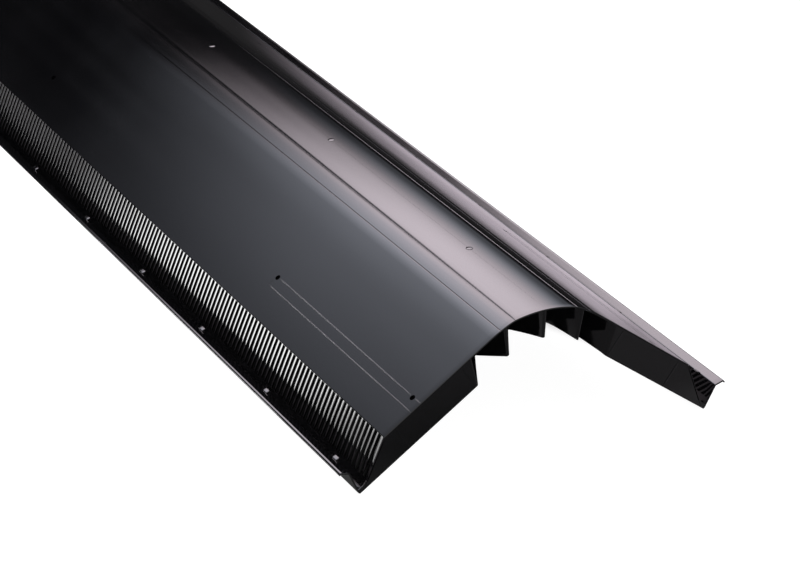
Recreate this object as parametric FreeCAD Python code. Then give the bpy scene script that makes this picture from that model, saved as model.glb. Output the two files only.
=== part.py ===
import FreeCAD, Part
import math
import os

# A ridge vent: one long strip moulded in a single piece, folded over the ridge of a roof.
# X runs across the ridge, Y along it, Z up. The strip stands on the feet of its two baffles.

# Overall sizes, in millimetres and degrees
LENGTH = 1219.2           # sold as four feet
WALL = 1.2                # thickness of the moulded sheet
DEPTH = 22.0              # from the top of the sheet down to the roof it is nailed to

# The top sheet, from the ridge outward
CROWN_SLOPE = 10.5        # slope of the two crown strips beside the ridge
CROWN_RADIUS = 90.0       # rounding of the ridge itself
CROWN_REACH = 24.1        # from the ridge to the inner hinge line, level
HINGE_SLOPE = 26.8        # slope of the strip between the two hinge lines
HINGE_GAP = 12.2          # width of that strip
INNER_BEND_RADIUS = 20.0  # of the sheet's bend at the inner hinge line
OUTER_BEND_RADIUS = 80.0  # and at the outer one
PANEL_SLOPE = 35.3        # slope of the wide panel, which is the slope of the roof
PANEL_WIDTH = 103.8       # from the outer hinge line to the top of the louvres

# Hinge grooves, pressed into the top of the sheet along its whole length
GROOVE_WIDTH = 1.2
GROOVE_DEPTH = 0.35

# Louvred wall, trough and outer baffle, with angles taken from the panel
LOUVRE_FALL = 33.0        # how steeply the louvred wall drops away below the panel
TROUGH_FLOOR = 2.8        # width of the floor between louvred wall and baffle
BAFFLE_LEAN = 8.8         # how far the baffle leans back towards the louvres
BAFFLE_RISE = 17.6        # from the trough floor to the corner of the flange
FLANGE_ANGLE = 50.8       # how steeply the flange rises
FLANGE_WIDTH = 7.3
RIM_WIDTH = 2.2           # edge of the flange, turned down
RIM_SLOPE = 50.0          # slope of that edge

# Louvre slots: upright openings side by side along the whole wall
SLOT_PITCH = 5.3
SLOT_WIDTH = 2.6
SLOT_TOP = 0.6            # sheet left between the panel's edge and the slot
SLOT_LENGTH = 32.5
SLOT_END_MARGIN = 2.4     # solid wall kept at each end of the strip

# Drain holes in the trough and nail holes in the panel
DRAIN_PITCH = 101.6
DRAIN_LENGTH = 6.0
DRAIN_WIDTH = 2.2
NAIL_DIAMETER = 4.2
NAIL_FROM_HINGE = 71.8    # up-slope edge of the nailing strip
NAIL_FROM_END = 10.4      # first hole, with a second hole further in and one at mid-length
SECOND_NAIL_FROM_END = 205.4

# End walls with their pleated middle
END_INNER_TOP = 25.7      # inner edge of an end wall, from the outer hinge line, at the sheet
END_INNER_FOOT = 33.1     # the same edge at the roof
DAM_HEIGHT = 3.6          # low dam that closes each end of the trough
PLEAT_WALL = 1.0
PLEAT_DEPTH = 26.0        # how far the folds reach in from the end
PLEATS_PER_SIDE = 2

NODE = "vent_moulding"


def vector(x, z, y=0.0):
    """A point in the cross section, at station y along the ridge."""
    return FreeCAD.Vector(x, y, z)


def slope(degrees):
    """Unit vector that runs outward and down at the given slope."""
    angle = math.radians(degrees)
    return vector(math.cos(angle), -math.sin(angle))


def mirrored(points):
    """The same points on the other side of the ridge, in reverse order."""
    return [vector(-p.x, p.z, p.y) for p in reversed(points)]


# Corners of the top surface on the +X side, with the sharp ridge at the origin
inner_hinge = vector(CROWN_REACH, -CROWN_REACH * math.tan(math.radians(CROWN_SLOPE)))
outer_hinge = inner_hinge + slope(HINGE_SLOPE) * HINGE_GAP
along = slope(PANEL_SLOPE)
above = vector(-along.z, along.x)


def on_panel(out, up):
    """A point given by its distance down the panel from the outer hinge and its height above it."""
    return outer_hinge + along * out + above * up


floor_level = WALL - DEPTH
louvre_run = -floor_level / math.tan(math.radians(LOUVRE_FALL))
floor_in = PANEL_WIDTH + louvre_run
floor_out = floor_in + TROUGH_FLOOR
corner_out = floor_out - BAFFLE_RISE * math.tan(math.radians(BAFFLE_LEAN))
corner_up = floor_level + BAFFLE_RISE
flange_angle = math.radians(FLANGE_ANGLE)

louvre_top = on_panel(PANEL_WIDTH, 0.0)
louvre_foot = on_panel(floor_in, floor_level)
baffle_foot = on_panel(floor_out, floor_level)
flange_corner = on_panel(corner_out, corner_up)
flange_tip = on_panel(
    corner_out + FLANGE_WIDTH * math.cos(flange_angle),
    corner_up + FLANGE_WIDTH * math.sin(flange_angle),
)

rim_tip = flange_tip + slope(RIM_SLOPE) * RIM_WIDTH

bends = [INNER_BEND_RADIUS, OUTER_BEND_RADIUS]


def bent_path(corners, radii):
    """An open path through the corners, each inner one rounded to its radius, or left sharp at none."""
    edges = []
    start = corners[0]
    for before, corner, after, radius in zip(corners, corners[1:], corners[2:], radii):
        back = (before - corner).normalize()
        ahead = (after - corner).normalize()
        half_turn = (math.pi - back.getAngle(ahead)) / 2.0
        setback = radius * math.tan(half_turn)
        if setback > 0.0:
            inward = (back + ahead).normalize()
            middle = corner + inward * (radius / math.cos(half_turn) - radius)
            first, last = corner + back * setback, corner + ahead * setback
            edges.append(Part.makeLine(start, first))
            edges.append(Part.Arc(first, middle, last).toShape())
            start = last
        else:
            edges.append(Part.makeLine(start, corner))
            start = corner
    edges.append(Part.makeLine(start, corners[-1]))
    return Part.Wire(edges)


def ridge_path(points):
    """A path over the ridge from one side to the other, given by its corners on the +X side."""
    sharp = [0.0] * (len(points) - len(bends) - 1)
    radii = sharp + bends[::-1] + [CROWN_RADIUS] + bends + sharp
    return bent_path(mirrored(points) + [vector(0.0, 0.0)] + points, radii)


def thickened(path, thickness):
    """The face between a path in the cross section and its copy set below or inside it."""
    return path.makeOffset2D(-thickness, join=2, fill=True, openResult=True)


def carried(face, start, distance):
    """A cross-section face carried along the ridge from a station."""
    face.translate(FreeCAD.Vector(0, start, 0))
    return face.extrude(FreeCAD.Vector(0, distance, 0))


def prism(points, start, distance):
    """A closed outline in the cross section carried along the ridge."""
    return carried(Part.Face(Part.makePolygon(points + points[:1])), start, distance)


def both_sides(shapes):
    """The given +X shapes with their mirror images across the ridge."""
    across = FreeCAD.Vector(1, 0, 0)
    return shapes + [s.mirror(FreeCAD.Vector(0, 0, 0), across) for s in shapes]


def stations(pitch, margin):
    """Evenly pitched stations, as many as fit between the margins, centred on the length."""
    count = int((LENGTH - 2.0 * margin) / pitch + 1e-6) + 1
    first = (LENGTH - (count - 1) * pitch) / 2.0
    return [first + i * pitch for i in range(count)]


def end_to_end(shapes):
    """The given shapes at the near end with their mirror images at the far end."""
    return shapes + [s.mirror(FreeCAD.Vector(0, LENGTH / 2.0, 0), FreeCAD.Vector(0, 1, 0)) for s in shapes]


# The strip itself: one sheet section along the whole length
section = [inner_hinge, outer_hinge, louvre_top, louvre_foot, baffle_foot, flange_corner, flange_tip,
           rim_tip]
shell = carried(thickened(ridge_path(section), WALL), 0.0, LENGTH)

# End walls hang from the panel and the louvred wall, and carry on across the trough as a low dam
half_wall = WALL / 2.0
dam_level = DAM_HEIGHT - DEPTH
half_fall = math.radians(LOUVRE_FALL / 2.0)
louvre_middle = -half_wall * math.tan(half_fall)
fall_run = 1.0 / math.tan(math.radians(LOUVRE_FALL))
baffle_run = math.tan(math.radians(BAFFLE_LEAN))
end_wall = prism(
    [
        on_panel(END_INNER_TOP, -half_wall),
        on_panel(PANEL_WIDTH + louvre_middle, -half_wall),
        on_panel(PANEL_WIDTH + louvre_middle - (dam_level + half_wall) * fall_run, dam_level),
        on_panel(floor_out + half_wall - (dam_level - floor_level) * baffle_run, dam_level),
        on_panel(floor_out + half_wall, -DEPTH),
        on_panel(END_INNER_FOOT, -DEPTH),
    ],
    0.0,
    WALL,
)

# The pleated web joins the two end walls under the ridge, and lets the strip flex
edge_top = on_panel(END_INNER_TOP, 0.0)
edge_foot = on_panel(END_INNER_FOOT, -DEPTH)
edge_taper = (edge_top.x - edge_foot.x) / (edge_top.z - edge_foot.z)


def pleat_outline(level):
    """Plan outline of the pleated web at a height: a zigzag of one thickness, narrower lower down."""
    reach = edge_top.x + edge_taper * (level - edge_top.z)
    steps = 4 * PLEATS_PER_SIDE
    half = PLEAT_WALL / 2.0
    folds = []
    for i in range(steps + 1):
        y = half if i % 2 == 0 else PLEAT_DEPTH - half
        folds.append(FreeCAD.Vector(reach * (2.0 * i / steps - 1.0), y, level))
    middle = Part.makePolygon(folds)
    near = middle.makeOffset2D(-half, join=2, openResult=True)
    return near.makeOffset2D(PLEAT_WALL, join=2, fill=True, openResult=True).OuterWire


pleats = Part.makeLoft([pleat_outline(edge_foot.z - DEPTH), pleat_outline(DEPTH)], True, True)
under_sheet = ridge_path([inner_hinge, outer_hinge, on_panel(END_INNER_FOOT + DEPTH, 0.0)])
under_sheet = under_sheet.makeOffset2D(-half_wall, join=2, openResult=True)
web_room = carried(thickened(under_sheet, DEPTH - half_wall), 0.0, PLEAT_DEPTH + DEPTH)
pleated_web = pleats.common(web_room)

body = shell.fuse(end_to_end(both_sides([end_wall]) + [pleated_web]))

# Hinge grooves, one along the middle of each bend of the sheet
grooves = []
for corner, before, after, radius in (
    (inner_hinge, slope(CROWN_SLOPE), slope(HINGE_SLOPE), INNER_BEND_RADIUS),
    (outer_hinge, slope(HINGE_SLOPE), slope(PANEL_SLOPE), OUTER_BEND_RADIUS),
):
    across = (before + after).normalize()
    upward = vector(-across.z, across.x)
    half_turn = before.getAngle(after) / 2.0
    crest = corner - upward * (radius / math.cos(half_turn) - radius)
    outline = [
        crest - across * (GROOVE_WIDTH / 2.0),
        crest + upward * GROOVE_DEPTH,
        crest + across * (GROOVE_WIDTH / 2.0),
        crest - upward * GROOVE_DEPTH,
    ]
    grooves.append(prism(outline, 0.0, LENGTH))

# Louvre slots through the whole thickness of the louvred wall
wall_down = (louvre_foot - louvre_top).normalize()
wall_out = vector(-wall_down.z, wall_down.x)
slot_outline = [
    louvre_top + wall_down * SLOT_TOP + wall_out * WALL,
    louvre_top + wall_down * (SLOT_TOP + SLOT_LENGTH) + wall_out * WALL,
    louvre_top + wall_down * (SLOT_TOP + SLOT_LENGTH) - wall_out * (2.0 * WALL),
    louvre_top + wall_down * SLOT_TOP - wall_out * (2.0 * WALL),
]
slot_stations = stations(SLOT_PITCH, SLOT_END_MARGIN + SLOT_WIDTH / 2.0)
slots = [prism(slot_outline, y - SLOT_WIDTH / 2.0, SLOT_WIDTH) for y in slot_stations]

# Drain holes through the trough floor
drain_middle = (floor_in + floor_out) / 2.0
drain_outline = [
    on_panel(drain_middle - DRAIN_WIDTH / 2.0, floor_level + WALL),
    on_panel(drain_middle + DRAIN_WIDTH / 2.0, floor_level + WALL),
    on_panel(drain_middle + DRAIN_WIDTH / 2.0, -DEPTH - WALL),
    on_panel(drain_middle - DRAIN_WIDTH / 2.0, -DEPTH - WALL),
]
drain_stations = stations(DRAIN_PITCH, DRAIN_PITCH / 2.0)
drains = [prism(drain_outline, y - DRAIN_LENGTH / 2.0, DRAIN_LENGTH) for y in drain_stations]

# Nail holes through the panel, square to it
nail_stations = [NAIL_FROM_END, SECOND_NAIL_FROM_END, LENGTH / 2.0,
                 LENGTH - SECOND_NAIL_FROM_END, LENGTH - NAIL_FROM_END]
nails = []
for y in nail_stations:
    foot = on_panel(NAIL_FROM_HINGE, -2.0 * WALL)
    foot.y = y
    nails.append(Part.makeCylinder(NAIL_DIAMETER / 2.0, 4.0 * WALL, foot, above))

holes = Part.makeCompound(both_sides(grooves + slots + drains + nails))
body = body.cut(holes).removeSplitter()

# Stored standing on its feet, centred over the origin
lowest = min(v.Z for v in body.Vertexes)
body.translate(FreeCAD.Vector(0, -LENGTH / 2.0, -lowest))
body = body.Solids[0] if len(body.Solids) == 1 else body

os.makedirs("parts", exist_ok=True)
body.exportStep("parts/" + NODE + ".step")
print(NODE, "valid", body.isValid(), "solids", len(body.Solids), "slots a side", len(slots))
print("sharp ridge height", round(-lowest, 3))
print("drains a side", len(drains), "nails a side", len(nails), "volume cm3", round(body.Volume / 1000.0, 1))
print("size", round(body.BoundBox.XLength, 2), round(body.BoundBox.YLength, 2), round(body.BoundBox.ZLength, 2))
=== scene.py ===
# %% [markdown]
# # A moulded ridge vent
# This lesson rebuilds one object: a long black plastic vent that is nailed over the ridge of a roof.
# The CAD frame gives its true sizes. Here every skin of the moulding is made again with soft,
# rounded edges, because a plastic moulding is read mostly by the light along its edges.

# %% Load the frame
import math

import bpy
import numpy as np
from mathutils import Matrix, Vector


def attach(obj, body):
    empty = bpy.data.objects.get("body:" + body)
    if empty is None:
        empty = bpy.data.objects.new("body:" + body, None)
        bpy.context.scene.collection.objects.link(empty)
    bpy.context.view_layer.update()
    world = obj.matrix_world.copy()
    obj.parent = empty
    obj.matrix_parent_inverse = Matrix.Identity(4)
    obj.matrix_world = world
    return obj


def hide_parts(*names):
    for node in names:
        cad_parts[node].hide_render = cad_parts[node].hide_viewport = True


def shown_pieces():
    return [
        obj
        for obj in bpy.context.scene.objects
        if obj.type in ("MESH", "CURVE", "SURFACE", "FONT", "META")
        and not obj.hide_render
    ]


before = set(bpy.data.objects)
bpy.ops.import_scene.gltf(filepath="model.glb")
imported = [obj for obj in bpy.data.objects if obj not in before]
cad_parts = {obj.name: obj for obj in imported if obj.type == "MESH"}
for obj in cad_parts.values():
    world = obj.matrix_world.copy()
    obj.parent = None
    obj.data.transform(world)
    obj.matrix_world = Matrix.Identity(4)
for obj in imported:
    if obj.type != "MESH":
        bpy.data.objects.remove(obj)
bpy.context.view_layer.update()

# %% [markdown]
# ## Sizes of the cross section
# The real vent is one sheet 1.2 mm thick. It is bent over the ridge, drops through a louvred wall into
# a trough, and comes up again as a baffle with a flared flange. Its sizes could be measured on the CAD
# mesh, but named sizes are easier to read and to change. They are in millimetres and degrees, as a
# mould maker would write them, and turn into metres only when a mesh is made.

# %% Sizes of the cross section
MM = 0.001
LENGTH = 1219.2
HALF_LENGTH = LENGTH / 2.0
WALL, DEPTH = 1.2, 22.0
CROWN_SLOPE, CROWN_RADIUS, CROWN_REACH = 10.5, 90.0, 24.1
HINGE_SLOPE, HINGE_GAP = 26.8, 12.2
INNER_BEND, OUTER_BEND = 32.0, 100.0
PANEL_SLOPE, PANEL_WIDTH = 35.3, 103.8
LOUVRE_BEND, LOUVRE_FALL, TROUGH_FLOOR = 0.5, 33.0, 2.8
SLOT_TOP, SLOT_LENGTH = 0.2, 31.4
BAFFLE_LEAN, BAFFLE_RISE = 8.8, 17.6
FLANGE_ANGLE, FLANGE_WIDTH = 53.1, 7.3
RIM_WIDTH, RIM_SLOPE = 2.2, 50.0
print("sheet", WALL, "mm thick, vent", LENGTH, "mm long")

# %% [markdown]
# ## Corners of the cross section
# Half of the section is enough, because both sides of the ridge are alike. Its corners could be typed
# in as coordinates, but here each follows from the sizes. A sloping panel has two directions of its
# own, one down along it and one square to it, and all that lies below the hinges is laid out in those.

# %% Corners of the cross section
RIGHT_ANGLE = 90.0


def slope(degrees):
    """Unit vector in the cross section that runs outward and falls at the given angle."""
    angle = math.radians(degrees)
    return np.array([math.cos(angle), -math.sin(angle)])


def tangent(degrees):
    """Tangent of an angle in degrees."""
    return math.tan(math.radians(degrees))


inner_hinge = np.array([CROWN_REACH, -CROWN_REACH * tangent(CROWN_SLOPE)])
outer_hinge = inner_hinge + slope(HINGE_SLOPE) * HINGE_GAP
along = slope(PANEL_SLOPE)
above = np.array([-along[1], along[0]])
floor_level = WALL - DEPTH
floor_in = PANEL_WIDTH - floor_level / tangent(LOUVRE_FALL)
floor_out = floor_in + TROUGH_FLOOR

# The lowest corner of the baffle's foot stands on the floor, which fixes the height of the ridge
foot_out = floor_out + WALL * tangent((RIGHT_ANGLE + BAFFLE_LEAN) / 2.0)
foot = outer_hinge + along * foot_out - above * DEPTH
ridge = np.array([0.0, -foot[1]])


def on_panel(out, up):
    """Points of the +X side: the outer hinge, plus a way down the panel, plus a height square to it."""
    out, up = np.asarray(out, float), np.asarray(up, float)
    return ridge + outer_hinge + out[..., None] * along + up[..., None] * above


louvre_top = on_panel(PANEL_WIDTH, 0.0)
louvre_foot = on_panel(floor_in, floor_level)
wall_down = (louvre_foot - louvre_top) / np.linalg.norm(louvre_foot - louvre_top)
baffle_foot = on_panel(floor_out, floor_level)
corner_out = floor_out - BAFFLE_RISE * tangent(BAFFLE_LEAN)
corner_up = floor_level + BAFFLE_RISE
flange_corner = on_panel(corner_out, corner_up)
flange = slope(-FLANGE_ANGLE) * FLANGE_WIDTH
flange_tip = on_panel(corner_out + flange[0], corner_up + flange[1])
rim_tip = flange_tip + slope(RIM_SLOPE) * RIM_WIDTH
mirror = np.array([-1.0, 1.0])
print("ridge height", ridge[1], "flange tip", flange_tip)

# %% [markdown]
# ## Paths
# Each part of the sheet is a bent line in the cross section that is carried along the ridge. Blender's
# curves could carry such a line, but numpy gives the exact normals that the two skins need, and tells
# how far along the line a hinge or a hole lies. The function rounds off the corners of a line, and the
# class reads points and normals off the result.

# %% Paths
ARC_STEP = 2.0
GUARD, GUARDED_LENGTH = 0.5, 3.0
RUN_DIGITS = 5


def run_along(points):
    """Distance along a path to each of its points: the sum of the gaps before it."""
    gaps = np.linalg.norm(np.diff(points, axis=0), axis=1)
    return np.concatenate([[0.0], np.cumsum(gaps)])


def rounded(corners, radii, spacing=9.0, steps=7):
    """Path through corners, with each inner corner turned into an arc that meets both its straights.

    An arc starts before its corner by its radius times the tangent of half the turn. Straights get
    points at the given spacing and close to their ends, which keeps the normals true beside an arc.
    """
    corners = np.asarray(corners, float)
    pieces = [corners[:1]]
    for before, corner, after, radius in zip(corners, corners[1:], corners[2:], radii):
        into = (corner - before) / np.linalg.norm(corner - before)
        away = (after - corner) / np.linalg.norm(after - corner)
        turn = math.atan2(into[0] * away[1] - into[1] * away[0], into @ away)
        setback = radius * math.tan(abs(turn) / 2.0)
        side = np.array([-into[1], into[0]]) * np.sign(turn)
        centre = corner - into * setback + side * radius
        count = max(steps, int(radius * abs(turn) / ARC_STEP) + 2)
        swing = np.linspace(0.0, turn, count)[:, None]
        forward = np.sin(swing) * into * np.sign(turn)
        pieces.append(centre + (forward - np.cos(swing) * side) * radius)
    pieces.append(corners[-1:])
    points = np.concatenate(pieces)
    run = run_along(points)
    lines = [run]
    for start, end in zip(run, run[1:]):
        if end - start > spacing:
            lines.append(np.linspace(start, end, int((end - start) / spacing) + 2))
        if end - start > GUARDED_LENGTH:
            lines.append(np.array([start + GUARD, end - GUARD]))
    every = np.unique(np.round(np.concatenate(lines), RUN_DIGITS))
    return np.stack([np.interp(every, run, points[:, k]) for k in range(2)], axis=1)


class Path:
    """A path in the cross section. Its normals are its direction of travel, turned left by a right angle."""

    def __init__(self, points):
        self.points = points
        step = np.gradient(points, axis=0)
        step /= np.linalg.norm(step, axis=1)[:, None]
        self.normals = np.stack([-step[:, 1], step[:, 0]], axis=1)
        self.run = run_along(points)

    def at(self, run, values):
        """The path's points or normals at any runs, read off between the two beside each."""
        return np.stack([np.interp(run, self.run, values[:, k]) for k in range(2)], axis=-1)

    def nearest(self, point):
        """Number of the path's point that lies nearest the given one."""
        return int(np.argmin(np.linalg.norm(self.points - point, axis=1)))

    def run_of(self, point):
        """Run at a point beside the path: that of the nearest point, plus the way from it along the path."""
        k = self.nearest(point)
        step = np.array([self.normals[k][1], -self.normals[k][0]])
        return self.run[k] + (point - self.points[k]) @ step


corner_test = rounded([[0.0, 0.0], [10.0, 0.0], [10.0, 10.0]], [5.0])
print("a rounded corner has", len(corner_test), "points and runs", round(run_along(corner_test)[-1], 2), "mm")

# %% [markdown]
# ## Plates
# A moulded sheet has an upper skin, a lower skin, and a wall round each edge and hole. Solidify could
# give a surface its thickness, but these edges are rounded, so the thickness changes from point to
# point. One function therefore takes a grid of points, lays a skin on either side of it, and walls up
# the edges of the cells that are kept. A hole is then a group of cells left out.

# %% Plates
SHARP_ANGLE = 38.0
EDGE_SHARE = 0.2


def mesh_object(name, points, faces):
    """A mesh object from points in millimetres and faces given as rows of point numbers."""
    used, faces_in_use = np.unique(faces, return_inverse=True)
    mesh = bpy.data.meshes.new(name)
    mesh.from_pydata((points[used] * MM).tolist(), [], faces_in_use.reshape(faces.shape).tolist())
    mesh.validate()
    mesh.shade_smooth()
    mesh.set_sharp_from_angle(angle=math.radians(SHARP_ANGLE))
    piece = bpy.data.objects.new(name, mesh)
    bpy.context.scene.collection.objects.link(piece)
    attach(piece, "root")
    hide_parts("vent_moulding")
    print(f"{name}: {len(used)} points, {len(faces)} faces")
    return piece


def plate(name, middle, normal, half, keep, sink=0.0):
    """Closed sheet: skins half a thickness either side of a middle surface, and a wall round each edge.

    middle and normal are grids of vectors, half the half thickness, keep the cells that aren't holes,
    and sink how far the upper skin is pressed in.
    """
    rows, columns = half.shape
    upper = middle + normal * (half - sink)[..., None]
    lower = middle - normal * half[..., None]
    points = np.concatenate([upper.reshape(-1, 3), lower.reshape(-1, 3)])
    top = np.arange(rows * columns).reshape(rows, columns)
    low = top + rows * columns
    i, j = np.nonzero(keep)
    faces = [
        np.stack([top[i, j], top[i + 1, j], top[i + 1, j + 1], top[i, j + 1]], axis=1),
        np.stack([low[i, j], low[i, j + 1], low[i + 1, j + 1], low[i + 1, j]], axis=1),
    ]
    solid = np.pad(keep.astype(int), 1)
    across = np.diff(solid[1:-1], axis=1)
    down = np.diff(solid[:, 1:-1], axis=0)
    i, j = np.nonzero(across == 1)
    faces.append(np.stack([top[i, j], low[i, j], low[i + 1, j], top[i + 1, j]], axis=1))
    i, j = np.nonzero(across == -1)
    faces.append(np.stack([top[i, j], top[i + 1, j], low[i + 1, j], low[i, j]], axis=1))
    i, j = np.nonzero(down == 1)
    faces.append(np.stack([top[i, j], top[i, j + 1], low[i, j + 1], low[i, j]], axis=1))
    i, j = np.nonzero(down == -1)
    faces.append(np.stack([top[i, j], low[i, j], low[i, j + 1], top[i, j + 1]], axis=1))
    return mesh_object(name, points, np.concatenate(faces))


def edge_round(distance, half):
    """Half thickness near an edge: a quarter ellipse that is full half a thickness in from the edge.

    A share of it is left at the very edge, so that the wall there has some height.
    """
    inside = np.clip(distance / half, 0.0, 1.0)
    return half * np.sqrt(np.maximum(1.0 - (1.0 - inside) ** 2, EDGE_SHARE**2))


print("half thickness at an edge and inside it", edge_round(np.array([0.0, WALL]), WALL / 2.0))

# %% [markdown]
# ## Grid lines
# Holes, grooves and rounded edges need grid lines exactly where they start and stop. An even grid that
# is fine enough for all of them would be huge. So the lines are gathered from the features themselves,
# with a few wide steps between, and the meshes stay light.

# %% Grid lines
EDGE_STEPS = np.array([0.0, 0.06, 0.2, 0.4, 0.65])
BOTH_EDGES = np.array([-0.5, 0.5])
LEAST_GAP, LINE_DIGITS = 0.05, 4
WIDE_LINES, WIDE_FROM_END = 81, 6.0


def stations(count, pitch):
    """Evenly pitched stations centred on the length."""
    return (np.arange(count) - (count - 1) / 2.0) * pitch


def both_ways(steps):
    """A line with the same steps to either side of it."""
    return np.concatenate([-steps[::-1], [0.0], steps])


def lines_through(*groups):
    """Sorted grid lines from several groups, without lines that lie closer than the least gap."""
    every = np.unique(np.round(np.concatenate([np.ravel(g) for g in groups]), LINE_DIGITS))
    return every[np.concatenate([[True], np.diff(every) > LEAST_GAP])]


def middles(lines):
    """Middle of the gap between each pair of neighbouring lines."""
    return (lines[1:] + lines[:-1]) / 2.0


wide_steps = np.linspace(WIDE_FROM_END - HALF_LENGTH, HALF_LENGTH - WIDE_FROM_END, WIDE_LINES)
length_lines = lines_through(EDGE_STEPS - HALF_LENGTH, HALF_LENGTH - EDGE_STEPS, wide_steps)
print(len(length_lines), "grid lines along the vent")

# %% [markdown]
# ## Line of the top sheet
# One sheet runs from the top of one louvred wall, over the ridge, to the top of the other. A straight
# panel would mirror the room as one even tone. A real panel is never quite flat, so each gets a bow of
# a third of a millimetre, which grades the light beside the hinge.

# %% Line of the top sheet
PANEL_BOW, BOW_RUN = 0.3, 25.0


def bow(out):
    """Height of the bow: half a parabola beside the hinge, times a straight fall to the louvres."""
    out = np.asarray(out, float)
    rise = 1.0 - (1.0 - np.clip(out / BOW_RUN, 0.0, 1.0)) ** 2
    return PANEL_BOW * rise * np.clip((PANEL_WIDTH - out) / (PANEL_WIDTH - BOW_RUN), 0.0, 1.0)


def bowed(points):
    """Cross-section points of either side, lifted square to their panel by its bow."""
    turn = np.stack([np.where(points[:, 0] < 0.0, -1.0, 1.0), np.ones(len(points))], axis=1)
    out = (points * turn - ridge - outer_hinge) @ along
    return points + bow(out)[:, None] * above * turn


strip_end = louvre_top + wall_down * SLOT_TOP
half_corners = np.array([ridge + inner_hinge, ridge + outer_hinge, louvre_top, strip_end])
sheet_corners = np.concatenate([half_corners[::-1] * mirror, ridge[None], half_corners])
half_bends = [LOUVRE_BEND, OUTER_BEND, INNER_BEND]
sheet_bends = half_bends + [CROWN_RADIUS] + half_bends[::-1]
sheet_path = Path(bowed(rounded(sheet_corners, sheet_bends)))
print("top sheet is", round(sheet_path.run[-1], 1), "mm wide along its bends")

# %% [markdown]
# ## Nail holes and hinge grooves
# Two thin grooves on each side are the living hinges that let the sheet fold, and round holes take the
# nails. A Boolean could cut the holes, but it leaves long thin faces that shade badly. Here the grid
# lines round each hole are drawn in from a square to a circle, and the cells inside are left out.

# %% Grid of the top sheet
NAIL_RADIUS, NAIL_FROM_HINGE = 2.1, 71.8
NAIL_FROM_END, SECOND_NAIL_FROM_END = 10.4, 205.4
RING_REACH = 2.6
NAIL_RINGS = np.array([0.5, 1.0, 1.7, RING_REACH])
HINGE_CORNERS = (2, 3, 5, 6)
GROOVE_WIDTH, GROOVE_DEPTH, GROOVE_RUN_OUT = 0.6, 0.16, 0.6
GROOVE_STEPS = np.array([0.15, 0.35, 0.5, 0.75])

nail_from_middle = HALF_LENGTH - np.array([NAIL_FROM_END, SECOND_NAIL_FROM_END])
nail_y = np.concatenate([-nail_from_middle, [0.0], nail_from_middle[::-1]])
nail_point = on_panel(NAIL_FROM_HINGE, 0.0)
nail_runs = [sheet_path.run_of(nail_point * mirror), sheet_path.run_of(nail_point)]
nail_steps = NAIL_RADIUS * both_ways(NAIL_RINGS)
hinge_runs = [sheet_path.run_of(sheet_corners[k]) for k in HINGE_CORNERS]
run_lines = lines_through(
    sheet_path.run,
    EDGE_STEPS,
    sheet_path.run[-1] - EDGE_STEPS,
    np.add.outer(nail_runs, nail_steps),
    np.add.outer(hinge_runs, GROOVE_WIDTH * both_ways(GROOVE_STEPS)),
)
sheet_y = lines_through(length_lines, np.add.outer(nail_y, nail_steps))
run, y = np.meshgrid(run_lines, sheet_y, indexing="ij")
print("top sheet grid", run.shape, "with nails at", nail_y)

# %% Nail holes
TINY = 1e-9
keep = np.ones((len(run_lines) - 1, len(sheet_y) - 1), bool)
for nail_run in nail_runs:
    for station in nail_y:
        away = np.stack([run - nail_run, y - station])
        square = np.abs(away).max(axis=0)
        pull = np.clip((RING_REACH - square / NAIL_RADIUS) / (RING_REACH - 1.0), 0.0, 1.0)
        scale = 1.0 + pull * (square / np.maximum(np.hypot(*away), TINY) - 1.0)
        run = np.where(pull > 0.0, nail_run + away[0] * scale, run)
        y = np.where(pull > 0.0, station + away[1] * scale, y)
        in_run = np.abs(middles(run_lines) - nail_run) < NAIL_RADIUS
        in_y = np.abs(middles(sheet_y) - station) < NAIL_RADIUS
        keep &= ~np.logical_and.outer(in_run, in_y)
print(np.count_nonzero(~keep), "cells left out for", len(nail_runs) * len(nail_y), "nail holes")

# %% Top sheet


def lifted(section, y):
    """Cross-section points or vectors set at stations along the ridge."""
    return np.stack([section[..., 0], np.broadcast_to(y, section.shape[:-1]), section[..., 1]], axis=-1)


def strip_plate(name, path, run, y, keep, from_rim, sink=0.0):
    """Plate whose upper skin follows a path in the cross section, carried along the ridge.

    It is rounded off at its two ends and at its rim, and its slot edges stay sharp.
    """
    normal = path.at(run, path.normals)
    middle = path.at(run, path.points) - normal * (WALL / 2.0)
    half = edge_round(np.minimum(from_rim, HALF_LENGTH - np.abs(y)), WALL / 2.0)
    return plate(name, lifted(middle, y), lifted(normal, 0.0), half, keep, sink)


groove = np.zeros_like(run)
for hinge in hinge_runs:
    groove += GROOVE_DEPTH * np.clip(1.0 - np.abs(run - hinge) / (GROOVE_WIDTH / 2.0), 0.0, 1.0)
groove *= np.clip((HALF_LENGTH - np.abs(y)) / GROOVE_RUN_OUT, 0.0, 1.0)
strip_plate("top_sheet", sheet_path, run, y, keep, np.inf, groove)

# %% [markdown]
# ## Troughs, baffles and flanges
# Below the slots the wall turns into a narrow trough and rises again as the baffle, whose flange
# flares outward to throw the wind over the louvres. All of it is one bent line, so one path per side
# makes it, and it needs no joins. Drain holes are rectangles of cells left out of the trough floor.

# %% Troughs
DRAIN_PITCH, DRAIN_LENGTH, DRAIN_WIDTH, DRAIN_COUNT = 101.6, 6.0, 2.2, 12
TROUGH_BENDS, TROUGH_SPACING = [LOUVRE_BEND, 0.2, 1.7, 1.6], 4.0

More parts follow.
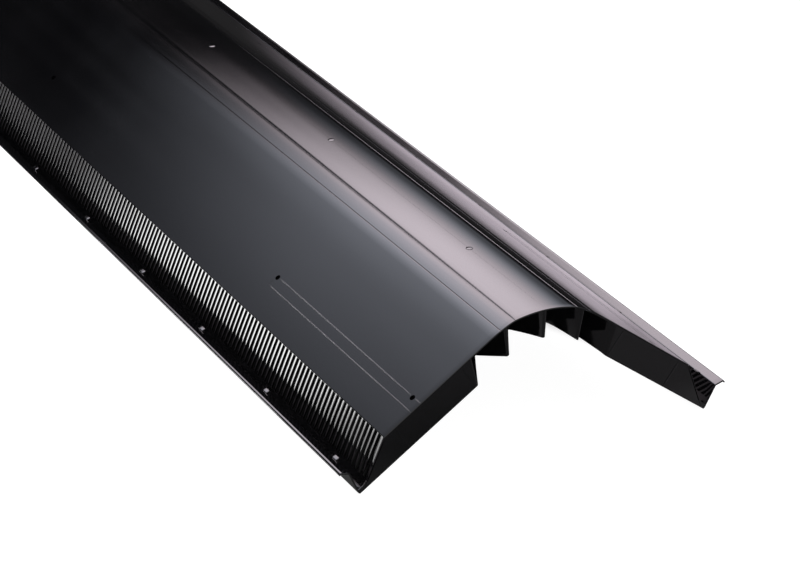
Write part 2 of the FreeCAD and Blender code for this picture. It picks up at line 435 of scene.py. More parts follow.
strip_start = louvre_top + wall_down * (SLOT_TOP + SLOT_LENGTH)
trough_corners = np.array([strip_start, louvre_foot, baffle_foot, flange_corner, flange_tip, rim_tip])
drain_point = on_panel((floor_in + floor_out) / 2.0, floor_level)
drain_y = stations(DRAIN_COUNT, DRAIN_PITCH)
trough_y = lines_through(length_lines, np.add.outer(drain_y, DRAIN_LENGTH * BOTH_EDGES))
from_drain = np.abs(np.subtract.outer(middles(trough_y), drain_y)).min(axis=1)


def trough(name, flip):
    """Trough, baffle and flange of one side: a path through their corners, carried along the ridge."""
    corners = trough_corners[::-1] * mirror if flip else trough_corners
    path = Path(rounded(corners, TROUGH_BENDS[::-1] if flip else TROUGH_BENDS, TROUGH_SPACING))
    drain_run = path.run[path.nearest(drain_point * mirror if flip else drain_point)]
    drain_lines = drain_run + DRAIN_WIDTH * BOTH_EDGES
    run_lines = lines_through(path.run, EDGE_STEPS, path.run[-1] - EDGE_STEPS, drain_lines)
    run, y = np.meshgrid(run_lines, trough_y, indexing="ij")
    in_run = np.abs(middles(run_lines) - drain_run) < DRAIN_WIDTH / 2.0
    keep = ~np.logical_and.outer(in_run, from_drain < DRAIN_LENGTH / 2.0)
    return strip_plate(name, path, run, y, keep, run if flip else path.run[-1] - run)


trough("trough_right", False)
trough("trough_left", True)

# %% [markdown]
# ## Louvre bars
# The louvred wall is a comb of small bars with slots between them. Cutting the slots out of the sheet
# would leave sharp edges, and the bars show best by the light on their rounded corners. So one bar is a
# rounded rectangle carried down the wall, and numpy copies it to every station at once. The ends of
# the bars run a little way into the solid strips above and below.

# %% Shape of a bar
SLOT_PITCH, SLOT_WIDTH, SLOT_COUNT = 5.3, 2.9, 229
BAR_RADIUS, BAR_INSET, BAR_BITE_TOP, BAR_BITE_FOOT = 0.15, 0.02, 0.12, 0.5
ARC_POINTS, BAR_LEVELS = 4, 4

slot_edges = np.add.outer(stations(SLOT_COUNT, SLOT_PITCH), SLOT_WIDTH * BOTH_EDGES)
bar_edges = np.concatenate([[-HALF_LENGTH], slot_edges.ravel(), [HALF_LENGTH]])
bar_low, bar_high = bar_edges[0::2], bar_edges[1::2]
bar_run = np.linspace(SLOT_TOP - BAR_BITE_TOP, SLOT_TOP + SLOT_LENGTH + BAR_BITE_FOOT, BAR_LEVELS)
quarter = np.linspace(0.0, math.pi / 2.0, ARC_POINTS)
turns = np.concatenate([quarter + k * math.pi / 2.0 for k in range(4)])
corner_y = np.repeat([1.0, -1.0, -1.0, 1.0], ARC_POINTS)
corner_n = np.repeat([1.0, 1.0, -1.0, -1.0], ARC_POINTS)
wall_out = np.array([-wall_down[1], wall_down[0]])
print(len(bar_low), "bars, each with", len(turns), "points round it")

# %% Louvre bars


def bars(name, flip):
    """Bars of one side: a rectangle with quarter-circle corners, carried down the louvred wall."""
    half_width = (bar_high - bar_low) / 2.0 - BAR_RADIUS
    centre_y = (bar_high + bar_low) / 2.0
    half_depth = WALL / 2.0 - BAR_INSET - BAR_RADIUS
    shape_y = centre_y[:, None] + corner_y * half_width[:, None] + BAR_RADIUS * np.cos(turns)
    shape_n = corner_n * half_depth + BAR_RADIUS * np.sin(turns) - WALL / 2.0
    down = louvre_top + bar_run[:, None] * wall_down
    section = down[:, None, :] + shape_n[None, :, None] * wall_out
    section = section * (mirror if flip else 1.0)
    count, ring_size, levels = len(centre_y), len(turns), len(bar_run)
    points = np.empty((count, levels, ring_size, 3))
    points[..., 0] = section[..., 0]
    points[..., 1] = shape_y[:, None, :]
    points[..., 2] = section[..., 1]
    number = np.arange(points.size // 3).reshape(count, levels, ring_size)
    ahead = np.roll(number, -1, axis=2)
    sides = np.stack([number[:, :-1], number[:, 1:], ahead[:, 1:], ahead[:, :-1]], axis=-1)
    rows = np.arange(ring_size // 2 - 1)
    opposite = ring_size - 1 - rows
    strip = np.stack([rows, rows + 1, opposite - 1, opposite], axis=1)
    head, foot = number[:, 0][:, strip], number[:, -1][:, strip[:, ::-1]]
    faces = np.concatenate([sides.reshape(-1, 4), head.reshape(-1, 4), foot.reshape(-1, 4)])
    return mesh_object(name, points.reshape(-1, 3), faces[:, ::-1] if flip else faces)


bars("louvre_bars_right", False)
bars("louvre_bars_left", True)

# %% [markdown]
# ## End walls and pleats
# A ribbon closes each end. It runs up from the trough as a flat end wall, folds back and forth under
# the ridge like a bellows, and goes down the other side as the second end wall. It could be built
# wall by wall, but then every fold would be a join. Instead it is one sheet: its plan is a zigzag path,
# its top edge follows the sheet, and its lower edge follows the roof.

# %% Edges of the end walls
END_INNER_TOP, END_INNER_FOOT, DAM_HEIGHT = 25.7, 33.1, 3.6
LOW_PAST_PANEL, LOW_PAST_TROUGH = 3.0, 0.5

edge_top, edge_foot = on_panel(END_INNER_TOP, -WALL / 2.0), on_panel(END_INNER_FOOT, -DEPTH)
dam_level = DAM_HEIGHT - DEPTH
dam_in = PANEL_WIDTH - dam_level / tangent(LOUVRE_FALL) - WALL / 2.0
dam_out = floor_out + WALL / 2.0 - (dam_level - floor_level) * tangent(BAFFLE_LEAN)
top_up = [-WALL / 2.0, -WALL / 2.0, dam_level, dam_level]
wall_top = on_panel([END_INNER_TOP, PANEL_WIDTH, dam_in, dam_out], top_up)
low_out = [END_INNER_FOOT, PANEL_WIDTH + LOW_PAST_PANEL, dam_in, floor_out + LOW_PAST_TROUGH]
wall_low = on_panel(low_out, np.full(len(low_out), -DEPTH))
print("end wall runs from", edge_foot, "to", wall_low[-1])

# %% Plan of the folds
PLEAT_WALL, PLEAT_DEPTH, FOLDS_PER_SIDE = 1.0, 26.0, 4
FOLD_RADIUS, FOLD_INSET, WALL_FROM_FOLD = 0.9, 1.0, 1.0
FOLD_SPACING, FOLD_STEPS = 4.0, 9

fold_reach = edge_top[0]
wall_reach = fold_reach + (wall_low[-1][0] - edge_foot[0])
fold = np.arange(1, 2 * FOLDS_PER_SIDE)
fold_x = -fold_reach + fold * fold_reach / FOLDS_PER_SIDE
fold_y = np.where(fold % 2 == 0, FOLD_INSET, PLEAT_DEPTH - FOLD_INSET)
flat_x, flat_y = np.array([fold_reach + WALL_FROM_FOLD, wall_reach]), np.full(2, WALL / 2.0)
corners_x = np.concatenate([-flat_x[::-1], fold_x, flat_x])
plan = np.stack([corners_x, np.concatenate([flat_y, fold_y, flat_y])], axis=1)
plan_x, plan_y = rounded(plan, [FOLD_RADIUS] * (len(plan) - 2), FOLD_SPACING, FOLD_STEPS).T
print("plan of the ribbon has", len(fold), "folds and", len(plan_x), "points")

# %% Edges of the ribbon
LOUVRE_MARGIN, SETTLING_ROUNDS = 2.0, 12
sheet_middle = sheet_path.points - sheet_path.normals * (WALL / 2.0)
roof_line = sheet_path.points - sheet_path.normals * DEPTH
inside = np.abs(sheet_path.points[:, 0]) < louvre_top[0] - LOUVRE_MARGIN
edge_taper = (edge_top[0] - edge_foot[0]) / (edge_top[1] - edge_foot[1])
in_wall = np.abs(plan_x) > fold_reach
marks = (wall_low[:, 0] - edge_foot[0]) / (wall_low[-1][0] - edge_foot[0])


def folded_edge(heights_x, heights_z):
    """Edge of the pleats, where z follows a line of the section and x is a share of the pleats' reach there.

    The reach widens downwards, so x and z are worked out in turn until they settle.
    """
    share = plan_x / fold_reach
    z = np.full_like(share, edge_top[1])
    for _ in range(SETTLING_ROUNDS):
        x = share * (edge_top[0] + edge_taper * (z - edge_top[1]))
        z = np.interp(x, heights_x, heights_z)
    return np.stack([x, z], axis=1)


def wall_edge(edge):
    """Edge of the end walls, read off by how far each point lies from the pleats to the baffle."""
    out = np.clip((np.abs(plan_x) - fold_reach) / (wall_reach - fold_reach), 0.0, 1.0)
    x, z = (np.interp(out, marks, edge[:, k]) for k in range(2))
    return np.stack([x * np.sign(plan_x), z], axis=1)


pleat_top, pleat_low = folded_edge(*sheet_middle[inside].T), folded_edge(*roof_line[inside].T)
web_top = np.where(in_wall[:, None], bowed(wall_edge(wall_top)), pleat_top)
web_low = np.where(in_wall[:, None], wall_edge(wall_low), pleat_low)
print("ribbon is", np.linalg.norm(web_low - web_top, axis=1).max().round(1), "mm high at most")

# %% End webs
LOW_EDGE = 0.55
# Shares of the way down, closer together at the rounded lower edge
drop = np.concatenate([np.linspace(0.0, 0.9, 7), [0.95, 0.97, 0.98, 0.99, 0.996, 1.0]])
section = web_top[:, None, :] + (web_low - web_top)[:, None, :] * drop[:, None]
middle = lifted(section, plan_y[:, None] - HALF_LENGTH)
normal = np.cross(np.gradient(middle, axis=0), np.gradient(middle, axis=1))
normal /= np.linalg.norm(normal, axis=-1)[..., None]
height = np.linalg.norm(web_low - web_top, axis=1)[:, None]
half_wall = np.where(in_wall, WALL / 2.0, PLEAT_WALL / 2.0)[:, None]
half = half_wall * edge_round((1.0 - drop) * height, LOW_EDGE) / LOW_EDGE
no_holes = np.ones((half.shape[0] - 1, half.shape[1] - 1), bool)
plate("end_web_near", middle, normal, half, no_holes)
half_turn = np.array([-1.0, -1.0, 1.0])
plate("end_web_far", middle * half_turn, normal * half_turn, half, no_holes)

# %% [markdown]
# ## Raised lines
# Thin raised lines on the panels show where the nails go. Bump could draw them, but they catch the
# light as real ridges do, so each is a flat elliptical tube that is half sunk in the sheet.

# %% Raised line tools
LINE_WIDTH, LINE_HEIGHT, LINE_TAPER, LINE_TIP = 0.55, 0.07, 0.6, 0.02
LINE_RINGS, LINE_SIDES = 40, 10


def raised_line(start, end):
    """Elliptical tube with tapered ends, between two points given by distance down the panel and station."""
    start, end = np.array(start), np.array(end)
    share = np.linspace(0.0, 1.0, LINE_RINGS)
    length = math.hypot(*(end - start))
    swell = np.sqrt(np.clip(np.minimum(share, 1.0 - share) * length / LINE_TAPER, LINE_TIP, 1.0))
    angle = np.arange(LINE_SIDES) * 2.0 * math.pi / LINE_SIDES
    across = np.array([start[1] - end[1], end[0] - start[0]]) / length
    centre = start + share[:, None] * (end - start)
    wide = np.cos(angle) * swell[:, None] * LINE_WIDTH / 2.0
    up = np.sin(angle) * swell[:, None] * LINE_HEIGHT
    flat = centre[:, None, :] + wide[..., None] * across
    return lifted(on_panel(flat[..., 0], up + bow(flat[..., 0])), flat[..., 1])


def tube_faces(count, around, first):
    """Quads of a tube whose rings follow one another, with its two ends closed by strips."""
    number = np.arange(count * around).reshape(count, around) + first
    ahead = np.roll(number, -1, axis=1)
    sides = np.stack([number[:-1], number[1:], ahead[1:], ahead[:-1]], axis=-1).reshape(-1, 4)
    rows = np.arange(around // 2 - 1)
    opposite = around - 1 - rows
    strip = np.stack([rows, rows + 1, opposite - 1, opposite], axis=1)
    return np.concatenate([sides, number[0][strip], number[-1][strip[:, ::-1]]])


print("a raised line has", len(tube_faces(LINE_RINGS, LINE_SIDES, 0)), "faces")

# %% Raised lines
INNER_LINE, OUTER_LINE, CROSS_LINE_START, BOX_LENGTH = 71.2, 79.8, 74.4, 207.0
LINE_FROM_END, NAIL_CLEARANCE = 0.6, 2.4

near = -HALF_LENGTH
line_start, box_end = near + LINE_FROM_END, near + BOX_LENGTH
first_nail, second_nail = near + NAIL_FROM_END, near + SECOND_NAIL_FROM_END
line_ends = [
    ((INNER_LINE, line_start), (INNER_LINE, first_nail - NAIL_CLEARANCE)),
    ((INNER_LINE, first_nail + NAIL_CLEARANCE), (INNER_LINE, second_nail - NAIL_CLEARANCE)),
    ((OUTER_LINE, line_start), (OUTER_LINE, box_end)),
    ((CROSS_LINE_START, box_end), (OUTER_LINE, box_end)),
]
tubes = np.stack([raised_line(start, end) for start, end in line_ends])
points, faces = [], []
for turn in ((1, 1, 1), (-1, 1, 1), (1, -1, 1), (-1, -1, 1)):
    for tube in tubes * np.array(turn, float):
        quads = tube_faces(LINE_RINGS, LINE_SIDES, len(points) * LINE_RINGS * LINE_SIDES)
        points.append(tube.reshape(-1, 3))
        faces.append(quads if math.prod(turn) > 0 else quads[:, ::-1])
mesh_object("nail_lines", np.concatenate(points), np.concatenate(faces))

# %% [markdown]
# ## Small raised forms
# Along the ridge are the round marks where the plastic was fed into the mould, and a faint line joins
# them. Small tabs stand at the foot of each flange, and upright ribs on the end walls. Each could be a
# cube with a Bevel, but one formula gives them all: a ball whose sines and cosines are raised to a
# power, which goes from a lens to a block with soft edges.

# %% Rounded blocks
BLOCK_RINGS, BLOCK_SIDES, POLE_GAP = 13, 24, 0.03


def pads(name, centres, sizes, across=(1.0, 0.0), power=1.0):
    """Closed rounded blocks: a ball whose sines and cosines are raised to a power, set at each centre.

    A power of 1 gives an ellipsoid and a small one a block with soft edges. across is the direction in
    the cross section that the first size runs along; the others run along the ridge and square to both.
    """
    tilt = np.linspace(POLE_GAP, math.pi - POLE_GAP, BLOCK_RINGS)[:, None]
    angle = np.arange(BLOCK_SIDES) * 2.0 * math.pi / BLOCK_SIDES

    def pressed(value):
        return np.sign(value) * np.abs(value) ** power

    ball = np.stack([
        pressed(np.sin(tilt)) * pressed(np.cos(angle)) * sizes[0],
        pressed(np.sin(tilt)) * pressed(np.sin(angle)) * sizes[1],
        pressed(np.cos(tilt)) * np.ones(BLOCK_SIDES) * sizes[2],
    ], axis=-1)
    axes = np.array([[across[0], 0.0, across[1]], [0.0, 1.0, 0.0], [-across[1], 0.0, across[0]]])
    points = np.asarray(centres)[:, None, None, :] + ball @ axes
    block = BLOCK_RINGS * BLOCK_SIDES
    faces = [tube_faces(BLOCK_RINGS, BLOCK_SIDES, k * block) for k in range(len(centres))]
    return mesh_object(name, points.reshape(-1, 3), np.concatenate(faces))


# %% Gate marks and ridge line
GATE_PITCH, GATE_COUNT, GATE_SIZES = 203.2, 6, (2.6, 2.6, 0.35)
RIDGE_LINE_SIZES = (0.3, HALF_LENGTH - 1.0, 0.06)
BLOCK_POWER = 0.35

crown_height = sheet_path.points[:, 1].max()
gate_y = stations(GATE_COUNT, GATE_PITCH)
gates = np.stack([np.zeros(GATE_COUNT), gate_y, np.full(GATE_COUNT, crown_height)], axis=1)
pads("gate_marks", gates, GATE_SIZES)
pads("ridge_line", [[0.0, 0.0, crown_height]], RIDGE_LINE_SIZES, power=BLOCK_POWER)

# %% Tabs
TAB_SIZES, TAB_SLOPE, TAB_FROM_END, TAB_RAISE = (1.5, 3.0, 0.7), 24.0, 21.8, 1.0

tab_y = near + TAB_FROM_END + np.arange(DRAIN_COUNT) * DRAIN_PITCH
inward_up = -slope(TAB_SLOPE)
tab_centre = flange_corner + inward_up * TAB_RAISE
for name, turn in (("tabs_right", 1.0), ("tabs_left", -1.0)):
    centres = lifted(np.broadcast_to(tab_centre * np.array([turn, 1.0]), (DRAIN_COUNT, 2)), tab_y)
    pads(name, centres, TAB_SIZES, (-inward_up[0], -turn * inward_up[1]), BLOCK_POWER)

# %% Ribs
RIB_SIZES, RIB_OUT, RIB_POWER = (0.6, 0.35, 9.5), np.array([35.0, 94.0]), 0.5

rib_section = on_panel(RIB_OUT, np.full(len(RIB_OUT), -DEPTH / 2.0))
for name, turn in (("ribs_right", 1.0), ("ribs_left", -1.0)):
    at_end = lifted(rib_section * np.array([turn, 1.0]), near)
    centres = np.concatenate([at_end, at_end * np.array([1.0, -1.0, 1.0])])
    pads(name, centres, RIB_SIZES, (along[0], turn * along[1]), RIB_POWER)

# %% [markdown]
# ## Shader sums in Python
# A material is a graph of small nodes, and wiring each by hand takes many lines. The class below wraps
# one output socket, so that sums on sockets can be written as ordinary Python: each sum adds a Math
# node to the graph. One method makes every other kind of node.

# %% Value class


class Value:
    """One output socket of a node graph, with Python's operators standing for Math nodes."""

    def __init__(self, tree, socket):
        self.tree = tree
        self.socket = socket

    @classmethod
    def node(cls, tree, kind, settings=None, inputs=None, output=0):
        """Adds a node: its settings come first, then each input gets a number, a colour or a link."""
        made = tree.nodes.new(kind)
        for key, value in (settings or {}).items():
            setattr(made, key, value)
        for key, value in (inputs or {}).items():
            if isinstance(value, Value):
                tree.links.new(value.socket, made.inputs[key])
            else:
                made.inputs[key].default_value = value
        return cls(tree, made.outputs[output]) if made.outputs else made

    def math(self, operation, *others):
        inputs = dict(enumerate((self, *others)))
        return Value.node(self.tree, "ShaderNodeMath", {"operation": operation}, inputs)

    def reflected(self, operation, other):
        inputs = {0: other, 1: self}
        return Value.node(self.tree, "ShaderNodeMath", {"operation": operation}, inputs)

    def __add__(self, other):
        return self.math("ADD", other)

    def __radd__(self, other):
        return self.reflected("ADD", other)

    def __sub__(self, other):
        return self.math("SUBTRACT", other)

    def __rsub__(self, other):
        return self.reflected("SUBTRACT", other)

    def __mul__(self, other):
        return self.math("MULTIPLY", other)

    def __rmul__(self, other):
        return self.reflected("MULTIPLY", other)

    def __truediv__(self, other):
        return self.math("DIVIDE", other)

    def __rtruediv__(self, other):
        return self.reflected("DIVIDE", other)

    def __abs__(self):
        return self.math("ABSOLUTE")

    def at_least(self, other):
        return self.math("MAXIMUM", other)

    def at_most(self, other):
        return self.math("MINIMUM", other)

    def ramp(self, low, high):
        """Rises from 0 to 1 as this value goes from low to high, with soft ends."""
        settings = {"interpolation_type": "SMOOTHSTEP"}
        inputs = {"Value": self, "From Min": low, "From Max": high}
        return Value.node(self.tree, "ShaderNodeMapRange", settings, inputs)

    def mix(self, first, second):
        """Colour that goes from the first to the second as this value goes from 0 to 1."""
        inputs = {0: self, 6: first, 7: second}
        return Value.node(self.tree, "ShaderNodeMix", {"data_type": "RGBA"}, inputs, 2)

    def parts(self):
        """The x, y and z of a vector, as three values."""
        first = Value.node(self.tree, "ShaderNodeSeparateXYZ", {}, {"Vector": self})
        return [Value(self.tree, socket) for socket in first.socket.node.outputs]


# %% [markdown]
# ## Black plastic
# The vent is injection-moulded polypropylene: nearly black, with a satin skin that mirrors its
# surroundings softly. One flat colour with one roughness would look like a drawing. So long streaks
# follow the way the plastic flowed along the mould, a fine grain breaks up the gloss, and a slow
# waviness keeps the reflections from looking machined.

# %% Material tools


def new_graph(name):
    """A material with an empty node graph."""
    material = bpy.data.materials.new(name)
    material.use_nodes = True
    material.node_tree.nodes.clear()
    return material, material.node_tree


def place(tree, stretch):
    """Object coordinates, stretched by a factor on each axis."""
    here = Value.node(tree, "ShaderNodeTexCoord", output="Object")
    settings = {"operation": "MULTIPLY"}
    return Value.node(tree, "ShaderNodeVectorMath", settings, {0: here, 1: stretch})


def noise(tree, vector, scale, detail):
    """Soft random pattern with values round a half."""
    inputs = {"Vector": vector, "Scale": scale, "Detail": detail, "Roughness": 0.5}
    return Value.node(tree, "ShaderNodeTexNoise", {"noise_dimensions": "3D"}, inputs)


# %% Plastic material
EVENLY, IN_STREAKS, IN_WAVES = (1.0, 1.0, 1.0), (60.0, 1.6, 60.0), (5.0, 1.4, 5.0)
BLACK, FLOW_BLACK = (0.0012, 0.0012, 0.0015, 1.0), (0.0024, 0.0024, 0.0028, 1.0)
SMOOTHEST, CLOUD_ROUGHNESS, STREAK_ROUGHNESS = 0.05, 0.03, 0.015
CLOUD_TONE, STREAK_TONE = 0.6, 0.4
PATTERN_RANGE, STREAK_RANGE = (0.3, 0.7), (0.35, 0.7)
PLASTIC_IOR = 1.49
WAVE_BUMP = {"Strength": 0.15, "Distance": 0.0012}
GRAIN_BUMP = {"Strength": 0.06, "Distance": 0.00006}
# Scale and detail of each pattern
CLOUDS, STREAKS, GRAINS, WAVES = (7.0, 4.0), (1.0, 3.0), (1500.0, 2.0), (3.0, 1.0)

plastic, tree = new_graph("black_plastic")
cloud = noise(tree, place(tree, EVENLY), *CLOUDS)
streak = noise(tree, place(tree, IN_STREAKS), *STREAKS)
grain = noise(tree, place(tree, EVENLY), *GRAINS)
wave = noise(tree, place(tree, IN_WAVES), *WAVES)
rough = SMOOTHEST + CLOUD_ROUGHNESS * cloud.ramp(*PATTERN_RANGE)
rough = rough + STREAK_ROUGHNESS * streak.ramp(*STREAK_RANGE)
tone = (CLOUD_TONE * cloud + STREAK_TONE * streak).ramp(*PATTERN_RANGE)
colour = tone.mix(BLACK, FLOW_BLACK)
wavy = Value.node(tree, "ShaderNodeBump", {}, {**WAVE_BUMP, "Height": wave}, "Normal")
grainy = {**GRAIN_BUMP, "Height": grain, "Normal": wavy}
bump = Value.node(tree, "ShaderNodeBump", {}, grainy, "Normal")
skin_inputs = {"Base Color": colour, "Roughness": rough, "IOR": PLASTIC_IOR, "Normal": bump}
skin = Value.node(tree, "ShaderNodeBsdfPrincipled", {}, skin_inputs)
Value.node(tree, "ShaderNodeOutputMaterial", {}, {"Surface": skin})
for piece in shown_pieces():
    piece.data.materials.clear()
    piece.data.materials.append(plastic)

# %% [markdown]
# ## Floor as the camera sees it
# The vent stands on a pale floor. To the camera the floor glows a little, which makes the background white
# without more light on the plastic. A glow shows no shade, so shade is painted on the floor under the vent:
# there the glow is left out and the floor is drawn dark, except on a patch under each arched end where light
# would reach in. That lit patch is a tent over the width, and turning it by half a turn gives the one at the
# far end.

# %% Painted shade under the vent
TENT_SIDE, TENT_START, TENT_RISE = 0.135, 0.004, 0.735
STEEP_SIDE, STEEP_RISE = 0.04, 1.2
FALL_SIDE, FALL_START, FALL_RISE = 0.13, 0.07, 2.4
TENT_DEPTH = 0.22
SOFT_SIDE, SOFT_RISE, SOFT_LEAST, SOFT_MOST = 0.03, 0.6, 0.006, 0.08
SHADE_SIDES = (0.129, 0.125)

floor_material, tree = new_graph("pale_floor")
here = Value.node(tree, "ShaderNodeTexCoord", output="Object")
floor_x, floor_y, _ = here.parts()
end_y = HALF_LENGTH * MM


def inside_end(across, from_end):
    """Painted shade behind one end: 0 on the lit patch and 1 further in.

    The patch deepens from one side, more steeply from about the middle, is cut off level, and falls away
    at the other side. Its edge gets softer as it deepens.
    """
    rise = TENT_RISE * (across + TENT_SIDE) + TENT_START
    rise = rise + STEEP_RISE * (across + STEEP_SIDE).at_least(0.0)
    fall = FALL_START + FALL_RISE * (FALL_SIDE - across)
    lit = rise.at_most(fall).at_most(TENT_DEPTH)
    soft = (SOFT_RISE * (across + SOFT_SIDE)).at_least(SOFT_LEAST).at_most(SOFT_MOST)
    return ((from_end - lit) / soft).ramp(0.0, 1.0)


between_sides = abs(floor_x).ramp(*SHADE_SIDES)
shade_near = inside_end(floor_x, floor_y + end_y)
shade_far = inside_end(-1.0 * floor_x, end_y - floor_y)
shaded = shade_near * shade_far * between_sides
print("shade under the vent is", 2.0 * SHADE_SIDES[0], "m wide")

# %% [markdown]
# ## Floor as the plastic sees it
# Glossy plastic mirrors whatever lies round it. An endless white floor would turn its sides grey, so the
# reflections are painted: to glossy rays only, the floor is a sheet of white paper on a dark table. The paper
# fades where the plastic should stay darker: each fade is made of soft steps across and along the floor, and
# a loop multiplies them all. Under the vent the paper is taken out, which paints shade there in reflections.
# Beside the right panel the paper is slightly rosy, and that panel picks the tint up as a painted reflection.

# %% Paper in reflections
PAPER_EDGE = (0.240, 0.175)
RIGHT_HALF, TOWARDS_FAR_END = (0.0, 0.05), (-0.28, 0.23)
RIGHT_OF_RIDGE, BEFORE_NEAR_END = (0.0, 0.1), (-0.58, -0.66)
RIGHT_OF_VENT, PAST_NEAR_END = (0.11, 0.13), (-0.62, -0.58)
CLOSE_TO_RIM, BY_NEAR_END = (0.185, 0.160), (-0.40, -0.47)
AWAY_FROM_RIM, TOWARDS_MIDDLE = (0.190, 0.215), (-0.36, 0.0)
UNDER_VENT = (end_y + 0.004, end_y - 0.016)
FRONT_FADE, FRONT_RIGHT = 0.75, 0.1
RIM_FADE, NEAR_FADE, FAR_FADE = 0.35, 0.4, 0.8

beside_right = floor_x.ramp(*RIGHT_OF_VENT) * floor_y.ramp(*PAST_NEAR_END)
fades = [
    floor_x.ramp(*RIGHT_HALF) * floor_y.ramp(*TOWARDS_FAR_END),
    (FRONT_FADE - FRONT_RIGHT * floor_x.ramp(*RIGHT_OF_RIDGE)) * floor_y.ramp(*BEFORE_NEAR_END),
    RIM_FADE * beside_right * floor_x.ramp(*CLOSE_TO_RIM),
    NEAR_FADE * beside_right * floor_y.ramp(*BY_NEAR_END),
    FAR_FADE * floor_x.ramp(*AWAY_FROM_RIM) * floor_y.ramp(*TOWARDS_MIDDLE),
    # Under the vent the paper is taken out of reflections: painted shade.
    between_sides * abs(floor_y).ramp(*UNDER_VENT),
]
# Paper that only glossy rays see, faded in places to paint the plastic's reflections.
painted_reflection_paper = floor_x.ramp(*PAPER_EDGE)
for fade in fades:
    painted_reflection_paper = painted_reflection_paper * (1.0 - fade)
print("paper in reflections fades in", len(fades), "places")

# %% Floor
PALE, PALER, SPECKLES = (0.86, 0.86, 0.86, 1.0), (0.89, 0.89, 0.89, 1.0), (3.0, 2.0)
ROSY_REFLECTION_PAPER, DARK_TABLE_AND_SHADE = (0.92, 0.79, 0.90, 1.0), (0.02, 0.02, 0.02, 1.0)
PAPER_SHARE = 0.7
GLOW, GLOW_TO_CAMERA, GLOW_TO_PLASTIC = 1.35, 0.72, 0.2
GLOW_RIGHT, GLOW_PAST_END = (0.10, 0.15), (-0.62, -0.56)
FLOOR_HALF = 5.0

camera_ray = Value.node(tree, "ShaderNodeLightPath", output="Is Camera Ray")
glossy_ray = Value.node(tree, "ShaderNodeLightPath", output="Is Glossy Ray")
white_paper = noise(tree, here, *SPECKLES).mix(PALE, PALER)
# Beside the right panel the paper turns rosy to glossy rays only: a painted reflection tint.
paper = (glossy_ray * beside_right).mix(white_paper, ROSY_REFLECTION_PAPER)
# Glossy rays see a dark table round the paper, and the camera sees the dark colour under the vent as painted
# shade.
table_and_shade_share = glossy_ray * (1.0 - PAPER_SHARE * painted_reflection_paper) + camera_ray * shaded
matte = Value.node(tree, "ShaderNodeBsdfDiffuse", {}, {"Color": table_and_shade_share.mix(paper, DARK_TABLE_AND_SHADE)})
glow = Value.node(tree, "ShaderNodeEmission", {}, {"Color": (1.0, 1.0, 1.0, 1.0), "Strength": GLOW})
# A patch of glow right of the vent that only glossy rays see: a painted reflection on the plastic.
painted_reflection_glow = painted_reflection_paper * floor_x.ramp(*GLOW_RIGHT) * floor_y.ramp(*GLOW_PAST_END)
glow_share = GLOW_TO_CAMERA * camera_ray + GLOW_TO_PLASTIC * glossy_ray * painted_reflection_glow
# Under the vent the glow is left out, where shade is painted.
seen = Value.node(tree, "ShaderNodeMixShader", {}, {0: glow_share * (1.0 - shaded), 1: matte, 2: glow})
Value.node(tree, "ShaderNodeOutputMaterial", {}, {"Surface": seen})
floor_mesh = bpy.data.meshes.new("floor")
floor_points = FLOOR_HALF * np.array([(-1, -1, 0), (1, -1, 0), (1, 1, 0), (-1, 1, 0)])
floor_mesh.from_pydata(floor_points.tolist(), [], [(0, 1, 2, 3)])
floor = bpy.data.objects.new("floor", floor_mesh)
floor.data.materials.append(floor_material)
bpy.context.scene.collection.objects.link(floor)
print("floor is", 2.0 * FLOOR_HALF, "m wide, with", len(tree.nodes), "nodes in its material")

# %% [markdown]
# ## Sky
# The sky is a studio with one large soft arch of light over the far half of the vent. Area lamps could
# form the arch, but in the world its edges can be as soft as a formula makes them. The arch's far edge
# ends quickly, so the vent fades towards its far end, and its two feet fade slowly to the left and
# right. The rest is a plain dim room that is brighter overhead, apart from a dark band beside the arch
# and past its far edge. The camera sees plain white in place of the sky.

# %% Parts of the sky
ARCH_LEFT, ARCH_RIGHT = (-37.0, -1.0), (76.0, 22.0)
ARCH_FAR, ARCH_NEAR = (0.836, 0.770), (0.40, 0.60)
NOTCH, NOTCH_AT, NOTCH_EDGE = 0.067, 10.0, (5.5, 2.0)
FAR_EDGE_SHIFTS = ((0.008, 40.0, 58.0), (-0.005, 36.0, 20.0), (-0.011, -8.0, -24.0))
WARM_LEFT, WARM_RIGHT = (-25.0, 5.0), (68.0, 48.0)
ROOM_NEAR, ROOM_FAR, ROOM_UP = (0.62, 0.40), (0.89, 0.94), (0.1, 0.9)

world = bpy.data.worlds.new("studio")
world.use_nodes = True
bpy.context.scene.world = world
tree = world.node_tree
tree.nodes.clear()
ray_x, ray_y, ray_z = Value.node(tree, "ShaderNodeTexCoord", output="Generated").parts()
around = ray_x.math("ARCTAN2", ray_z) * math.degrees(1.0)
far_y = ray_y + NOTCH * abs(around - NOTCH_AT).ramp(*NOTCH_EDGE)
for shift, start, end in FAR_EDGE_SHIFTS:
    far_y = far_y + shift * around.ramp(start, end)
arch = around.ramp(*ARCH_LEFT) * around.ramp(*ARCH_RIGHT) * far_y.ramp(*ARCH_FAR) * ray_y.ramp(*ARCH_NEAR)
warm = around.ramp(*WARM_LEFT) * around.ramp(*WARM_RIGHT)
in_room = ray_y.ramp(*ROOM_NEAR) + ray_y.ramp(*ROOM_FAR)
print("arch of light spans", ARCH_LEFT[0], "to", ARCH_RIGHT[0], "degrees round the ridge")

# %% Sky
ARCH_LIGHT, DARK_LIGHT, WALL_LIGHT, CEILING_LIGHT = 6.7, 0.014, 0.22, 0.95


def even_light(colour, strength):
    """Light of one colour from all round."""
    return Value.node(tree, "ShaderNodeBackground", {}, {"Color": (*colour, 1.0), "Strength": strength})


def blend(share, first, second):
    """Goes from the first shader to the second as the share goes from 0 to 1."""
    return Value.node(tree, "ShaderNodeMixShader", {}, {0: share, 1: first, 2: second})


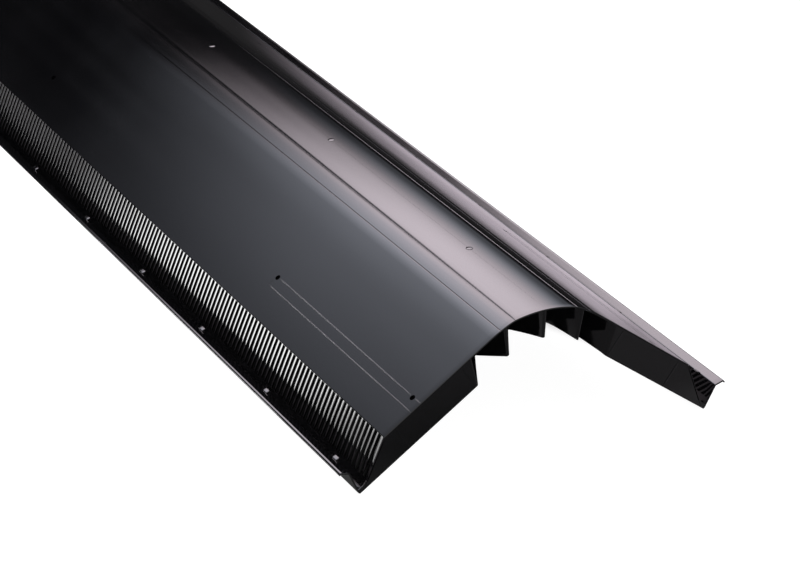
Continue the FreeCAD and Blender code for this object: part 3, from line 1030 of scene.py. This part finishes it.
dark = even_light((1.0, 1.0, 1.07), DARK_LIGHT)
walls, ceiling = even_light((0.95, 0.98, 1.0), WALL_LIGHT), even_light((1.0, 1.0, 1.0), CEILING_LIGHT)
cool_arch, warm_arch = even_light((0.90, 0.94, 1.08), ARCH_LIGHT), even_light((1.0, 0.89, 0.97), ARCH_LIGHT)
sky = blend(in_room, dark, blend(ray_z.ramp(*ROOM_UP), walls, ceiling))
sky = blend(arch, sky, blend(warm, cool_arch, warm_arch))
camera_ray = Value.node(tree, "ShaderNodeLightPath", output="Is Camera Ray")
sky = blend(camera_ray, sky, even_light((1.0, 1.0, 1.0), 1.0))
Value.node(tree, "ShaderNodeOutputWorld", {}, {"Surface": sky})
print("sky has", len(tree.nodes), "nodes")

# %% [markdown]
# ## Side lamps
# The louvre bars mirror the room low on the left, where the arch doesn't reach, so they need a light of
# their own there. One long lamp would end abruptly in the bars. A row of three, with dimmer ones at its
# ends, lets the light on the bars fade.

# %% Side lamps
LAMP_X, LAMP_HEIGHT, LAMP_LIFT = -0.32, 0.08, 0.042
LAMP_ENDS = (-0.42, -0.31, 0.03, 0.075)
LAMP_WATTS_PER_AREA = (13.0, 44.0, 16.0)
for number, power in enumerate(LAMP_WATTS_PER_AREA):
    start, end = LAMP_ENDS[number : number + 2]
    lamp = bpy.data.lights.new(f"side_box_{number}", "AREA")
    lamp.shape = "RECTANGLE"
    lamp.size, lamp.size_y = end - start, LAMP_HEIGHT
    lamp.energy = power * (end - start) * LAMP_HEIGHT
    side_box = bpy.data.objects.new(f"side_box_{number}", lamp)
    side_box.location = (LAMP_X, (start + end) / 2.0, LAMP_LIFT)
    side_box.rotation_euler = Vector((1.0, 0.0, 0.0)).to_track_quat("-Z", "Y").to_euler()
    side_box.visible_camera = False
    bpy.context.scene.collection.objects.link(side_box)
    print("side lamp", number, "length", round(end - start, 3), "watts", round(lamp.energy, 3))

# %% [markdown]
# ## Camera
# The camera looks down at the near end from the left. A long lens from a few metres away keeps the far
# end from shrinking too fast, as in a catalogue picture. Its place is set by numbers and not by a
# Track To constraint, because the picture is also tilted a little.

# %% Camera
SENSOR_WIDTH, LENS = 36.0, 130.5
CAMERA_PLACE, CAMERA_TURN = (-0.94184, -2.03776, 0.96804), (63.608, -2.214, -29.037)
camera_data = bpy.data.cameras.new("camera")
camera_data.sensor_width = SENSOR_WIDTH
camera_data.lens = LENS
camera = bpy.data.objects.new("camera", camera_data)
camera.location = CAMERA_PLACE
camera.rotation_euler = tuple(math.radians(a) for a in CAMERA_TURN)
bpy.context.scene.collection.objects.link(camera)
bpy.context.scene.camera = camera
bpy.context.scene.view_settings.view_transform = "Standard"
print("camera at", CAMERA_PLACE)
